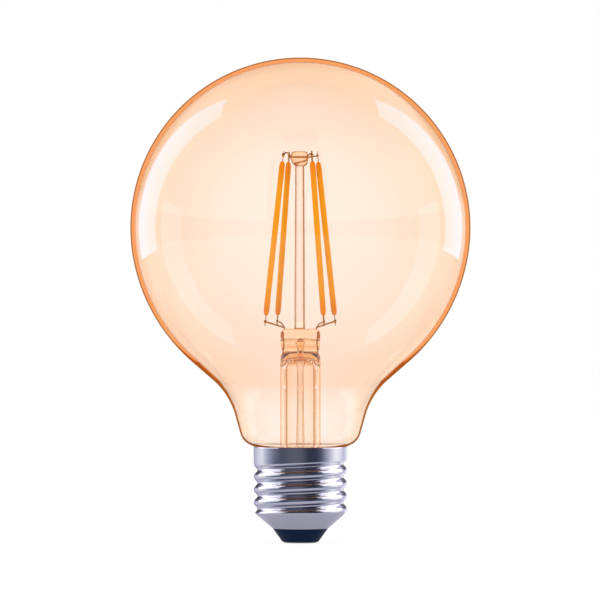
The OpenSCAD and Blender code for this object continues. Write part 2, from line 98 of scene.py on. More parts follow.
class Shader:
    """The nodes of one material, or of the room round the lamp."""

    def __init__(self, tree):
        self.tree = tree
        tree.nodes.clear()

    def node(self, kind, settings=None, values=None, out=0):
        """Adds a node, makes its settings, then gives its sockets their values or links."""
        made = self.tree.nodes.new(kind)
        for name, setting in (settings or {}).items():
            if name == "stops":
                stops = made.color_ramp.elements
                for stop, (position, colour) in zip(stops, (setting[0], setting[-1])):
                    stop.position, stop.color = position, (*colour, 1)
                for position, colour in setting[1:-1]:
                    stops.new(position).color = (*colour, 1)
            else:
                setattr(made, name, setting)
        for name, value in (values or {}).items():
            if isinstance(value, Value):
                self.tree.links.new(value.socket, made.inputs[name])
            elif isinstance(value, tuple) and len(value) == 3 and len(made.inputs[name].default_value) == 4:
                made.inputs[name].default_value = (*value, 1)
            else:
                made.inputs[name].default_value = value
        return Value(self, made.outputs[out] if made.outputs else made)

    def math(self, operation, first, second):
        return self.node("ShaderNodeMath", {"operation": operation}, {0: first, 1: second})

    def mix(self, amount, first, second, blend="MIX"):
        """Two colours mixed by an amount from 0 to 1."""
        return self.node(
            "ShaderNodeMix", {"data_type": "RGBA", "blend_type": blend},
            {0: amount, 6: first, 7: second}, out=2,
        )

    def smooth(self, value, start, end, low=0.0, high=1.0):
        """Runs smoothly from low to high as value goes from start to end."""
        return self.node(
            "ShaderNodeMapRange",
            {"interpolation_type": "SMOOTHSTEP"},
            {"Value": value, "From Min": start, "From Max": end, "To Min": low, "To Max": high},
        )


def light_room():
    """A bright room behind the lamp, whose colour depends on how light has come to it.

    The metal mirrors the walls by compass, from the back at 0 round by the left to the back again at 1. They
    are dark overhead and low down behind. Light that has gone through glass comes out into white, or into
    warm brown where it was thrown back forwards inside the glass. Light that the cap sends steeply up
    through the globe comes out into the dark overhead.
    """
    room = Shader(bpy.context.scene.world.node_tree)
    seen, diffused, mirrored, through = (
        room.node("ShaderNodeLightPath", out=name)
        for name in ("Is Camera Ray", "Diffuse Depth", "Glossy Depth", "Transmission Depth")
    )
    scattered, bounced, inside = (room.math("MINIMUM", count, 1) for count in (diffused, mirrored, through))
    direction = room.node("ShaderNodeTexCoord", out="Generated")
    x, y, z = (room.node("ShaderNodeSeparateXYZ", None, {0: direction}, out=axis) for axis in ("X", "Y", "Z"))

    compass = room.math("ARCTAN2", x, 0 - y) / (2 * math.pi) + 0.5
    walls = [
        (0.0, (0.2, 0.22, 0.3)), (0.04, (0.25, 0.27, 0.36)), (0.065, (0.5, 0.5, 0.62)),
        (0.11, (0.56, 0.56, 0.68)), (0.17, (0.76, 0.76, 0.82)), (0.2, (0.75, 0.75, 0.82)),
        (0.25, (0.36, 0.37, 0.48)), (0.314, (0.1, 0.11, 0.165)), (0.36, (0.068, 0.073, 0.11)),
        (0.467, (0.105, 0.11, 0.15)), (0.508, (0.085, 0.09, 0.12)), (0.556, (0.025, 0.03, 0.055)),
        (0.611, (0.025, 0.032, 0.06)), (0.656, (0.09, 0.1, 0.15)), (0.706, (0.41, 0.41, 0.52)),
        (0.761, (0.86, 0.87, 0.93)), (0.792, (0.96, 0.96, 0.98)), (0.875, (0.54, 0.55, 0.7)),
        (0.95, (0.95, 0.95, 1.0)), (0.972, (0.5, 0.5, 0.6)), (1.0, (0.2, 0.22, 0.3)),
    ]
    mirrored_walls = room.node("ShaderNodeValToRGB", {"stops": walls}, {0: compass})
    shade_behind = room.smooth(y / (x * x + y * y + 1e-6) ** 0.5, 0.68, 0.86)
    shade_behind = shade_behind * room.smooth(z, 0.05, 0.16) * (1 - room.smooth(z, 0.36, 0.5))
    dark = 1 - (1 - room.smooth(z, 0.45, 0.9)) * (1 - 0.85 * shade_behind)
    studio = room.mix(dark, mirrored_walls, (0.0, 0.0, 0.004))
    studio = room.mix(inside * dark, studio, (0.05, 0.035, 0.025))

    thrown_back = bounced * (1 - room.smooth(y, 0.25, 0.72))
    backlight = room.mix(thrown_back, (1.16, 1.09, 1.08), (0.75, 0.42, 0.16))
    backlight = room.mix(scattered, backlight, (1.3, 1.3, 1.3))

    steep = room.smooth(z, 0.2, 0.4) * room.smooth(through, 2.4, 2.6)
    steep = room.math("MAXIMUM", steep, room.smooth(z, 0.82, 0.92)) * (1 - room.smooth(through, 4.4, 4.6))
    colour = room.mix(inside, (1.15, 1.15, 1.15), backlight)
    colour = room.mix(bounced * (1 - inside * (1 - steep)), colour, studio)
    colour = room.mix(seen, colour, (1, 1, 1))
    background = room.node("ShaderNodeBackground", None, {"Color": colour, "Strength": 1.0})
    room.node("ShaderNodeOutputWorld", None, {"Surface": background})


bpy.context.scene.world = bpy.data.worlds.new("room")
bpy.context.scene.world.use_nodes = True
light_room()

# Width, height, brightness, colour and place of the right-hand light of each pair, and what it lights.
lit_by_boxes, lit_by_panels = (bpy.data.collections.new(name) for name in ("lit_by_boxes", "lit_by_panels"))
for width, height, glow, tint, (place_x, place_y, place_z), lit in (
    (82, 280, 1.8, (0.5, 0.48, 0.95), (162, 80, 200), lit_by_boxes),
    (220, 400, 0.8, (1.0, 0.99, 1.05), (160, 0, 232), lit_by_panels),
):
    for side in (-1, 1):
        light = bpy.data.lights.new("soft_box", "AREA")
        light.shape, light.color = "RECTANGLE", tint
        light.size, light.size_y = width * MM, height * MM
        light.energy = glow * math.pi * light.size * light.size_y
        soft_box = bpy.data.objects.new("soft_box", light)
        soft_box.location = (side * place_x * MM, place_y * MM, place_z * MM)
        to_lamp = math.atan2(place_y, side * place_x) + math.radians(90)
        soft_box.rotation_euler = (math.radians(90), 0, to_lamp)
        soft_box.visible_camera = False
        soft_box.light_linking.receiver_collection = lit
        bpy.context.scene.collection.objects.link(soft_box)

# Warm light that comes back up inside the neck, as a disc that faces up.
neck_glow_size, neck_glow_z, neck_glow_strength = 20, 19.3, 0.8
light = bpy.data.lights.new("neck_glow", "AREA")
light.shape, light.size, light.color = "DISK", neck_glow_size * MM, (1.0, 0.6, 0.28)
light.energy = neck_glow_strength * math.pi * math.pi * (light.size / 2) ** 2
neck_glow = bpy.data.objects.new("neck_glow", light)
neck_glow.location = (0, 0, neck_glow_z * MM)
neck_glow.rotation_euler = (math.radians(180), 0, 0)
bpy.context.scene.collection.objects.link(neck_glow)


def grid_mesh(name, sheets, hollows=(), sharp=40):
    """One object from closed grids of points in millimetres, each an array of rows, columns and x, y, z.

    Each face joins a point to the next in its row and the two above them, and the rows close on themselves.
    A grid that encloses a negative volume, as the sum of a . (b x c) / 6 over its triangles, is turned
    over, and a hollow the other way, so that faces point out of the material. Merging doubles closes
    poles and seams.
    """
    points, faces, start = [], [], 0
    for number, grid in enumerate([*sheets, *hollows]):
        rows, columns = grid.shape[:2]
        corner = start + np.arange(rows * columns).reshape(rows, columns)
        beside = np.roll(corner, -1, axis=1)
        quads = np.stack([corner[:-1], beside[:-1], beside[1:], corner[1:]], axis=-1).reshape(-1, 4)
        a, b, c, d = (grid.reshape(-1, 3)[quads[:, k] - start] for k in range(4))
        volume = np.einsum("ij,ij->", a, np.cross(b, c)) + np.einsum("ij,ij->", a, np.cross(c, d))
        if (volume < 0) != (number >= len(sheets)):
            quads = quads[:, ::-1]
        points.append(grid.reshape(-1, 3) * MM)
        faces.append(quads)
        start += rows * columns
    mesh = bpy.data.meshes.new(name)
    mesh.from_pydata(np.concatenate(points), [], np.concatenate(faces).tolist())
    made = bpy.data.objects.new(name, mesh)
    bpy.context.scene.collection.objects.link(made)
    merged = bmesh.new()
    merged.from_mesh(mesh)
    bmesh.ops.remove_doubles(merged, verts=merged.verts, dist=1e-7)
    merged.to_mesh(mesh)
    merged.free()
    mesh.shade_smooth()
    mesh.set_sharp_from_angle(angle=math.radians(sharp))
    return made


def turned(profile, turns=96):
    """A profile of radius and height turned round the lamp's axis: (r cos a, r sin a, z)."""
    r, z = np.array(profile, float).T[:, :, None]
    a = np.linspace(0, 2 * np.pi, turns, endpoint=False)[None, :]
    return np.stack(np.broadcast_arrays(r * np.cos(a), r * np.sin(a), z), axis=-1)


# The floor is chalk white. In the cap it mirrors with a painted shadow, a dim pool close to the lamp, with
# the room beyond it.
floor = grid_mesh("floor", [turned([(0, 0), (900, 0), (900, -2), (0, -2)])])
floor_paint = bpy.data.materials.new("floor_paint")
floor_paint.use_nodes = True
shade = Shader(floor_paint.node_tree)
mirrors, through = (
    shade.math("MINIMUM", shade.node("ShaderNodeLightPath", out=name), 1)
    for name in ("Glossy Depth", "Transmission Depth")
)
place = shade.node("ShaderNodeTexCoord", out="Object")
away = shade.node("ShaderNodeVectorMath", {"operation": "LENGTH"}, {0: place}, out="Value")
grain = shade.node("ShaderNodeTexNoise", None, {"Vector": place, "Scale": 40.0, "Detail": 4.0})
chalk_white = shade.mix(grain, (0.17, 0.17, 0.17), (0.2, 0.2, 0.2))
chalk = shade.node("ShaderNodeBsdfDiffuse", None, {"Color": chalk_white})
lit = shade.node("ShaderNodeEmission", None, {"Color": (1, 1, 1), "Strength": 0.86 + 0.1 * through})
paint = shade.node("ShaderNodeAddShader", None, {0: chalk, 1: lit})
# Painted shade: mirrored rays see the floor dimmer close to the lamp, in place of the lamp's shadow on it.
painted_shade_pool = shade.smooth(away, 0.006, 0.022, 0.36, 0.5)
painted_shade_mirror = shade.node("ShaderNodeEmission", None, {"Color": (0.9, 0.9, 1.08), "Strength": painted_shade_pool})
clear = shade.node("ShaderNodeBsdfTransparent")
painted_shade_mirror = shade.node("ShaderNodeMixShader", None, {0: shade.smooth(away, 0.026, 0.05), 1: painted_shade_mirror, 2: clear})
surface = shade.node("ShaderNodeMixShader", None, {0: mirrors * (1 - through), 1: paint, 2: painted_shade_mirror})
shade.node("ShaderNodeOutputMaterial", None, {"Surface": surface})
floor.data.materials.append(floor_paint)


# ---------------------------------------------------------------------------------------------
# Flared stem tube of clear lead glass. Its lower end is flared out to meet the globe's neck, and
# its upper end is melted and pressed flat on the lead wires, with a rounder head over the press.
# The exhaust tube's way up ends in a small blown port in the press.

stem_r, stem_bore_r = 5.6, 4.35
neck_r, seal_z = 11.4, 19.6
flare_z, flare_curve_r, flare_slope = 28.5, 9, 60
roof_z, press_z, press_head_z, stem_top_z = 51.2, 50.6, 56.7, 59.75
press_half, head_more = 1.9, 0.8
port_r = 0.85


class Glass(Shader):
    """A finish of clear or tinted glass, whose colour deepens where it is seen along its surface.

    The tints are a ramp from straight on, 0, to edge on, 1, and the height bands are a ramp of colours over
    the piece's height, multiplied into the tint. At the very edge, light runs straight through the length of
    the wall, and takes its colour from the edge and outline colours and from what the glass absorbs on the
    way.
    """

    def __init__(self, name, tints, edge, edge_range, outline=None, height_bands=None, absorbs=None, density=0):
        self.material = bpy.data.materials.new(name)
        self.material.use_nodes = True
        super().__init__(self.material.node_tree)
        facing = self.node("ShaderNodeLayerWeight", None, {"Blend": 0.5}, out="Facing")
        colour = self.node("ShaderNodeValToRGB", {"stops": tints}, {0: facing})
        if height_bands:
            low, high, stops = height_bands
            place = self.node("ShaderNodeTexCoord", out="Object")
            height = self.node("ShaderNodeSeparateXYZ", None, {0: place}, out="Z")
            clouds = self.node("ShaderNodeTexNoise", None, {"Vector": place, "Scale": 420.0, "Detail": 2.0})
            share = (height + (clouds - 0.5) * (0.8 * MM) - low * MM) / ((high - low) * MM)
            tone = self.node("ShaderNodeValToRGB", {"stops": stops}, {0: share})
            colour = self.mix(1.0, colour, tone, "MULTIPLY")
        glass = self.node(
            "ShaderNodeBsdfPrincipled", None,
            {"Base Color": colour, "Roughness": 0.0, "IOR": 1.5, "Transmission Weight": 1.0},
        )
        clear = self.node("ShaderNodeBsdfTransparent", None, {"Color": edge})
        if outline:
            inner = self.node("ShaderNodeAttribute", {"attribute_name": "inner"}, out="Fac")
            low = self.node("ShaderNodeAttribute", {"attribute_name": "low"}, out="Fac")
            dark = self.node("ShaderNodeBsdfTransparent", None, {"Color": outline})
            line = self.smooth(facing + 0.12 * low, 0.84, 0.92)
            clear = self.node("ShaderNodeMixShader", None, {0: line, 1: clear, 2: dark})
            facing = facing * (1 - inner)
        rim = self.smooth(facing, *edge_range)
        sockets = {"Surface": self.node("ShaderNodeMixShader", None, {0: rim, 1: glass, 2: clear})}
        if absorbs:
            soaked = {"Color": absorbs, "Density": density}
            sockets["Volume"] = self.node("ShaderNodeVolumeAbsorption", None, soaked)
        self.node("ShaderNodeOutputMaterial", None, sockets)


def arc(centre, r, start, end, steps):
    """Points on a circle's arc between two angles in degrees."""
    a = np.radians(np.linspace(start, end, steps))
    return np.stack([centre[0] + r * np.cos(a), centre[1] + r * np.sin(a)], axis=1)


def smooth_step(x):
    """3 t^2 - 2 t^3, where t is x kept between 0 and 1."""
    t = np.clip(x, 0, 1)
    return t * t * (3 - 2 * t)


def pressed(profile, turns=96):
    """A turned tube whose section goes from round to a flat rounded bar: x = a C(t), y = b S(t).

    C and S are the signed powers of cosine and sine, at power 1 on the tube and 0.45 in the press,
    and b falls from the radius to the press's half thickness.
    """
    r, z = np.array(profile, float).T[:, :, None]
    t = np.linspace(0, 2 * np.pi, turns, endpoint=False)[None, :]
    flat = smooth_step((z - press_z) / 3.0)
    head = smooth_step((z - press_head_z) / 0.4)
    power = 1 - 0.55 * flat
    half = press_half + head_more * head
    b = r * (1 - flat) + np.minimum(half, r) * flat
    shape = [np.sign(f) * np.abs(f) ** power for f in (np.cos(t), np.sin(t))]
    return np.stack(np.broadcast_arrays(r * shape[0], b * shape[1], z), axis=-1)


flare_centre = (stem_r + flare_curve_r, flare_z)
outside = np.concatenate([
    [(neck_r, seal_z - 1), (neck_r, seal_z - 0.03), (neck_r - 1.1, seal_z - 0.03)],
    arc(flare_centre, flare_curve_r, 180 + flare_slope, 180, 24),
    [(stem_r, z) for z in np.linspace(30, 50.4, 30)],
    [(stem_r - 0.08, 51.4), (5.45, 52.1), (5.15, 52.8), (5.0, 53.4), (5.15, 54.0), (5.4, 54.6), (5.45, 55.2),
     (5.45, 56.0), (5.5, 56.6), (5.55, 57.2), (5.55, 58.2)],
    arc((4.1, 58.3), 1.45, 0, 88, 10),
    [(2.4, stem_top_z), (0, stem_top_z)],
])
inside = np.concatenate([
    [(0, roof_z), (1.5, roof_z), (3.1, roof_z - 0.05), (3.8, roof_z - 0.4),
     (stem_bore_r - 0.1, roof_z - 1.1)],
    [(stem_bore_r, z) for z in np.linspace(49.6, 30, 30)],
    arc(flare_centre, flare_curve_r + stem_r - stem_bore_r, 180, 180 + flare_slope, 24),
    [(neck_r - 1.4, seal_z - 1), (neck_r, seal_z - 1)],
])
port = turned([(0, roof_z + 0.1), (port_r, roof_z + 0.1), (port_r, 53.5), (1.2, 54.8), (1.45, 55.8),
               (1.1, 56.9), (0.5, 57.4), (0, 57.5)], 32)
port[..., 1] *= 0.8
stem = grid_mesh("stem_tube", [np.concatenate([pressed(outside), turned(inside)])], [port], sharp=60)
# Bands of colour multiplied into the glass from 50 to 60 mm high: orange low in the press, a dark brown band
# at 56.75 to 57 mm just over the start of the head, and browner at the very top.
press_bands = [
    (0.0, (1, 1, 1)), (0.12, (1, 0.95, 0.88)), (0.15, (0.85, 0.5, 0.2)), (0.3, (0.9, 0.55, 0.25)),
    (0.36, (1, 0.85, 0.66)), (0.48, (0.9, 0.6, 0.32)), (0.56, (1, 0.84, 0.64)), (0.655, (0.98, 0.8, 0.58)),
    (0.675, (0.5, 0.26, 0.08)), (0.7, (0.5, 0.26, 0.08)), (0.72, (1, 0.86, 0.7)), (0.94, (1, 0.88, 0.74)),
    (0.965, (0.8, 0.5, 0.28)),
]
stem_glass = Glass(
    "stem_glass",
    [(0, (1, 0.98, 0.95)), (0.4, (1, 0.93, 0.83)), (0.62, (0.95, 0.68, 0.36)), (0.85, (0.6, 0.3, 0.07))],
    (0.85, 0.55, 0.22), (0.72, 0.9), height_bands=(50, 60, press_bands),
)
stem.data.materials.append(stem_glass.material)
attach(stem, "root")
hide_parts("stem_flare")


# ---------------------------------------------------------------------------------------------
# Exhaust tube of the same glass, fused under the press. The lamp is pumped and filled with gas
# through it, and its lower end is then melted shut to a rounded tip.

exhaust_r, exhaust_bore_r, exhaust_tip_z = 1.3, 0.85, 14.6
tube_outside = [(0, exhaust_tip_z), (0.4, exhaust_tip_z + 0.1), (0.9, exhaust_tip_z + 0.6),
                (1.2, exhaust_tip_z + 1.4), (exhaust_r, exhaust_tip_z + 2.4), (1.25, 24), (1.1, 30),
                (1.0, 36), (0.93, 42), (0.88, 47), (0.86, 48.4), (1.0, 49.6), (1.2, 50.6),
                (1.4, roof_z - 0.04)]
tube_inside = [(1.0, roof_z - 0.04), (0.7, 50.2), (0.5, 48.6), (0.52, 46), (0.56, 42), (0.62, 36),
               (0.7, 30), (exhaust_bore_r, 24), (exhaust_bore_r, exhaust_tip_z + 3), (0.5, exhaust_tip_z + 2),
               (0, exhaust_tip_z + 1.6)]
exhaust = grid_mesh("exhaust_glass", [turned(tube_outside + tube_inside, 48)], sharp=60)
thin_glass = Glass("thin_glass", [(0, (1, 0.98, 0.96)), (0.25, (1, 0.94, 0.86)), (0.5, (0.62, 0.38, 0.16))],
                   (0.8, 0.55, 0.28), (0.5, 0.7))
exhaust.data.materials.append(thin_glass.material)
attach(exhaust, "root")
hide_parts("exhaust_tube")


# ---------------------------------------------------------------------------------------------
# Centre rod of solid glass, drawn a little thinner upwards and fused to the head of the press.
# It stands a little to the left of the lamp's axis, as in the photo.

rod_aside = -0.2
rod_profile = [(0, stem_top_z + 0.03), (1.5, stem_top_z + 0.03), (1.45, stem_top_z + 0.25), (1.42, 62),
               (1.4, 75), (1.34, 90), (1.28, 100), (1.26, 105.15), (0, 105.15)]
rod_points = turned(rod_profile, 48)
rod_points[..., 0] += rod_aside
rod = grid_mesh("rod_glass", [rod_points], sharp=60)
rod_glass = Glass("rod_glass", [(0, (1, 0.97, 0.96)), (0.16, (1, 0.96, 0.93)), (0.34, (0.3, 0.13, 0.035))],
                  (0.55, 0.36, 0.16), (0.5, 0.7))
rod.data.materials.append(rod_glass.material)
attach(rod, "root")
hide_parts("centre_rod")


# ---------------------------------------------------------------------------------------------
# Bead of darker glass melted on the rod's top, which grips the two upper wires.
# It sags a little to one side, as a bead made by hand over a flame does.

bead_rows = [(0, 105.2), (1.3, 105.2), (1.75, 105.5), (2.1, 106.0), (2.35, 106.8), (2.45, 107.6),
             (2.4, 108.3), (2.2, 108.9), (1.9, 109.2), (1.5, 109.3), (0, 109.3)]
bead_points = turned(bead_rows, 48)
bead_points[..., 0] -= 0.25 * smooth_step((bead_points[..., 2] - 105.2) / 2)
bead = grid_mesh("bead_glass", [bead_points], sharp=60)
bead_glass = Glass("bead_glass", [(0, (1, 0.8, 0.6)), (0.3, (0.95, 0.66, 0.4)), (0.6, (0.5, 0.24, 0.07))],
                   (0.6, 0.36, 0.14), (0.5, 0.75))
bead.data.materials.append(bead_glass.material)
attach(bead, "root")
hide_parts("top_bead")


# ---------------------------------------------------------------------------------------------
# Filaments. Each is a ceramic strip with a row of chips, coated all round with silicone and
# phosphor, which gives the orange-yellow stick with blunt ends. A flat metal tab stands out of
# each end, and the four sticks lean in to form a cone round the rod.

filament_r, foot_circle_r, top_circle_r = 0.8, 11.5, 6.0
foot_z, top_z, first_turn = 63.6, 106.4, 33.7
lean = math.atan2(foot_circle_r - top_circle_r, top_z - foot_z)
names = ("back_right", "back_left", "front_left", "front_right")


def polar(r, turn, z):
    """A point at a radius and a turn in degrees round the lamp's axis."""
    return np.array([r * math.cos(math.radians(turn)), r * math.sin(math.radians(turn)), z])


def drawn(path, radius, sides=12, beside=(0, 1, 0), flat=1.0):
    """A round section carried along a path: point + radius (cos t u + flat sin t v).

    The direction at a point is the mean of the steps beside it, u is square to it and to `beside`, and v
    to both. A ring of no radius closes each end.
    """
    path = np.array(path, float)
    steps = np.diff(path, axis=0)
    steps /= np.linalg.norm(steps, axis=1, keepdims=True)
    along = np.concatenate([steps[:1], steps[:-1] + steps[1:], steps[-1:]])
    along /= np.linalg.norm(along, axis=1, keepdims=True)
    u = np.cross(np.array(beside, float), along)
    u /= np.linalg.norm(u, axis=1, keepdims=True)
    v = np.cross(along, u)
    t = np.linspace(0, 2 * np.pi, sides, endpoint=False)[None, :, None]
    size = np.broadcast_to(np.array(radius, float), len(path))[:, None, None]
    rings = path[:, None] + size * (np.cos(t) * u[:, None] + flat * np.sin(t) * v[:, None])
    ends = [np.broadcast_to(point, (1, sides, 3)) for point in (path[0], path[-1])]
    return np.concatenate([ends[0], rings, ends[1]])


phosphor = bpy.data.materials.new("phosphor_silicone")
phosphor.use_nodes = True
shade = Shader(phosphor.node_tree)
place = shade.node("ShaderNodeTexCoord", out="Object")
cloud = shade.node("ShaderNodeTexNoise", None, {"Vector": place, "Scale": 900.0, "Detail": 3.0})
speckle = shade.node("ShaderNodeTexNoise", None, {"Vector": place, "Scale": 6000.0, "Detail": 2.0})
height = shade.node("ShaderNodeSeparateXYZ", None, {0: place}, out="Z")
from_middle = height - 85 * MM
ends = shade.smooth(from_middle * from_middle, (13 * MM) ** 2, (21 * MM) ** 2)
colour = shade.mix(cloud, (0.93, 0.35, 0.0), (1.0, 0.43, 0.005))
colour = shade.mix(ends, colour, (0.95, 0.29, 0.0))
relief = cloud + speckle * 0.4
relief = shade.node("ShaderNodeBump", None, {"Height": relief, "Strength": 0.4, "Distance": 0.0001})
# A faint emission in the coat's own colour is painted light that brightens the unlit filaments.
skin = shade.node(
    "ShaderNodeBsdfPrincipled", None,
    {"Base Color": colour, "Roughness": 0.45 + 0.1 * speckle, "Normal": relief, "Emission Color": colour,
     "Emission Strength": 0.1, "Specular IOR Level": 0.1},
)
shade.node("ShaderNodeOutputMaterial", None, {"Surface": skin})

for number, name in enumerate(names):
    foot = polar(foot_circle_r, first_turn + 90 * number, foot_z)
    top = polar(top_circle_r, first_turn + 90 * number, top_z)
    share = np.concatenate([[0, 0.004, 0.012, 0.025], np.linspace(0.05, 0.95, 40), [0.975, 0.988, 0.996, 1]])
    swell = 1 + 0.012 * np.sin(share * 19 + number) + 0.008 * np.sin(share * 47 + 2 * number)
    blunt = np.concatenate([[0.5, 0.66, 0.82, 0.94], np.ones(40), [0.94, 0.82, 0.66, 0.5]])
    path = foot + share[:, None] * (top - foot)
    coat = grid_mesh("coat_" + name, [drawn(path, filament_r * blunt * swell, 24)])
    coat.data.materials.append(phosphor)
    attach(coat, "root")
    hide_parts("filament_" + name)


def finish(name, base, rough, metal=0.0, bump=0.0, grain=400.0, second=None, gloss=0.5, glow=0.0):
    """A finish with fine grain: two close colours mixed by noise, with matching roughness and relief.

    The gloss is how strongly the surface mirrors, and the glow how strongly it shines by itself.
    """
    material = bpy.data.materials.new(name)
    material.use_nodes = True
    shade = Shader(material.node_tree)
    place = shade.node("ShaderNodeTexCoord", out="Object")
    cloud = shade.node("ShaderNodeTexNoise", None, {"Vector": place, "Scale": grain, "Detail": 5.0})
    fine = shade.node("ShaderNodeTexNoise", None, {"Vector": place, "Scale": grain * 6, "Detail": 3.0})
    relief = cloud + 0.5 * fine
    relief = shade.node("ShaderNodeBump", None, {"Height": relief, "Strength": bump, "Distance": 0.0002})
    colour = shade.mix(cloud, base, second or tuple(0.8 * c for c in base))
    skin = shade.node(
        "ShaderNodeBsdfPrincipled", None,
        {"Base Color": colour, "Roughness": rough * 0.8 + fine * (rough * 0.4), "Metallic": metal,
         "Normal": relief, "Specular IOR Level": gloss, "Emission Color": colour, "Emission Strength": glow},
    )
    shade.node("ShaderNodeOutputMaterial", None, {"Surface": skin})
    return material


tab_l, tab_reach, coat_l = 3.0, 1.8, (top_z - foot_z) / math.cos(lean)
tab_sheets = []
for number in range(4):
    foot = polar(foot_circle_r, first_turn + 90 * number, foot_z)
    top = polar(top_circle_r, first_turn + 90 * number, top_z)
    up = (top - foot) / coat_l
    across = polar(1, first_turn + 90 * number, 0)
    for end, way in ((foot, -1), (top, 1)):
        path = end + way * up * np.array([-0.6, 0.3, 1.2, 1.5, 1.9, 2.3, tab_l])[:, None]
        tab_sheets.append(drawn(path, [0.3, 0.3, 0.3, 0.22, 0.22, 0.3, 0.26], 8, across, 0.35))
tabs = grid_mesh("end_tabs", tab_sheets, sharp=30)
tabs.data.materials.append(finish("tab_metal", (0.62, 0.55, 0.45), 0.28, 1.0, 0.2))
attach(tabs, "root")
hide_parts("filament_tabs")


def repaint(name, *look, **more):
    """A carried-over piece keeps the shape of the drawing and gets a finish of its own."""
    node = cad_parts[name]
    node.data.materials.clear()
    node.data.materials.append(finish(name + "_finish", *look, **more))


repaint("filament_strips", (0.86, 0.82, 0.7), 0.6, 0, 0.1)
repaint("led_chips", (0.5, 0.62, 0.25), 0.25, 0, 0.1)


# ---------------------------------------------------------------------------------------------
# Wires of nickel-plated iron. Two leads come up through the press, bend out to a filament's foot,
# and each carries a thinner branch to a second foot. Two bridges cross inside the bead and join
# the tops of opposite filaments. Every joint is a small melted blob.

lead_r, support_r, gap = 0.25, 0.2, 0.02
lead_foot_z, bore_x, press_x, elbow_x, elbow_z = 9.2, 3.85, 4.5, 4.4, 60.1
upper_bridge_z, lower_bridge_z, bead_r = 107.7, 106.6, 2.45


def eased(corners, reach, steps=8):
    """The path through the corners, each inner corner replaced by a quadratic curve.

    The curve leaves the straight `reach` before the corner and joins the next one `reach` after it.
    """
    corners = np.array(corners, float)
    before, corner, after = corners[:-2], corners[1:-1], corners[2:]
    back, on = (np.linalg.norm(p - corner, axis=1, keepdims=True) for p in (before, after))
    start = corner + (before - corner) / back * np.minimum(reach, 0.45 * back)
    end = corner + (after - corner) / on * np.minimum(reach, 0.45 * on)
    t = np.linspace(0, 1, steps)[None, :, None]
    bends = (1 - t) ** 2 * start[:, None] + 2 * t * (1 - t) * corner[:, None] + t ** 2 * end[:, None]
    return np.concatenate([corners[:1], bends.reshape(-1, 3), corners[-1:]])


def blob(centre, r, stretch=1.3):
    """A melted blob: rings of radius r sin t at height -r stretch cos t, about a centre."""
    t = np.linspace(0, np.pi, 9)
    ball = turned(np.stack([r * np.sin(t), -r * stretch * np.cos(t)], axis=1), 12)
    return ball + np.array(centre)


def weld(number, end):
    """Where a wire meets filament `number`'s tab: end 0 is its foot, 1 its top."""
    if end == 0:
        return polar(foot_circle_r + tab_reach * math.sin(lean), first_turn + 90 * number,
                     foot_z - tab_reach * math.cos(lean))
    return polar(top_circle_r - tab_reach * math.sin(lean), first_turn + 90 * number,
                 top_z + tab_reach * math.cos(lean))


wire_metal = finish("nickel_wire", (0.5, 0.25, 0.05), 0.35, 1.0, 0.3, 900.0, (0.66, 0.36, 0.1))
for side, name, foot_number, branch_number in ((-1, "left", 2, 1), (1, "right", 0, 3)):
    foot = weld(foot_number, 0)
    elbow = np.array([side * elbow_x, 0, elbow_z])
    lead = eased([(side * bore_x, 0, lead_foot_z), (side * bore_x, 0, press_z), (side * press_x, 0, 53.6),
                  elbow, foot], 0.7)
    sealed = smooth_step((60.6 - lead[:, 2]) / 1)
    lead_wire = grid_mesh(name + "_lead", [drawn(lead, lead_r - 0.1 * sealed, 12), blob(foot, 0.42)])
    foot = weld(branch_number, 0)
    start = elbow + (lead_r + gap) * (foot - elbow) / np.linalg.norm(foot - elbow)
    branch = eased([start, foot - polar(2.2, first_turn + 90 * branch_number, 0.5), foot], 0.6)
    branch_wire = grid_mesh(name + "_branch", [drawn(branch, support_r, 10, (0, 0, 1)), blob(foot, 0.36)])
    for piece in (lead_wire, branch_wire):
        piece.data.materials.append(wire_metal)
        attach(piece, "root")
        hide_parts(piece.name + "_wire")

for name, number, height, kick_a, kick_b in (
    ("upper", 0, upper_bridge_z, 1.6, 2.7), ("lower", 1, lower_bridge_z, 1.1, 2.3),
):
    turn = first_turn + 90 * number
    ends = weld(number, 1), weld(number + 2, 1)
    bridge = eased([
        ends[0], polar(top_circle_r - 1.3, turn, top_z + kick_a), polar(bead_r + 0.3, turn, height),
        polar(-bead_r - 0.3, turn, height), polar(top_circle_r - 1.3, turn + 180, top_z + kick_b), ends[1],
    ], 0.6)
    bridge_wire = grid_mesh(
        name + "_bridge", [drawn(bridge, support_r, 10, (0, 0, 1)), blob(ends[0], 0.36), blob(ends[1], 0.42)]
    )
    bridge_wire.data.materials.append(wire_metal)
    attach(bridge_wire, "root")
    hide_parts(name + "_bridge_wire")


# ---------------------------------------------------------------------------------------------
# Globe of amber glass, blown in a mould in one piece with its neck. The shoulder under the neck
# rests on the cap's rim, and the neck below it is fused to the flare and hidden in the cap.

globe_r, globe_z, glass_wall = 47.5, 88.0, 1.0
cone_slope, neck_slope, throat_curve_r = 49, 15.5, 20.5
fuller_below, fuller_by = 10, 2.8
shoulder_r, shoulder_z, shoulder_curve_r, shoulder_slope = 16.8, 30.6, 5.2, 56
collar_r, cap_rim_z = 13.05, 26.9


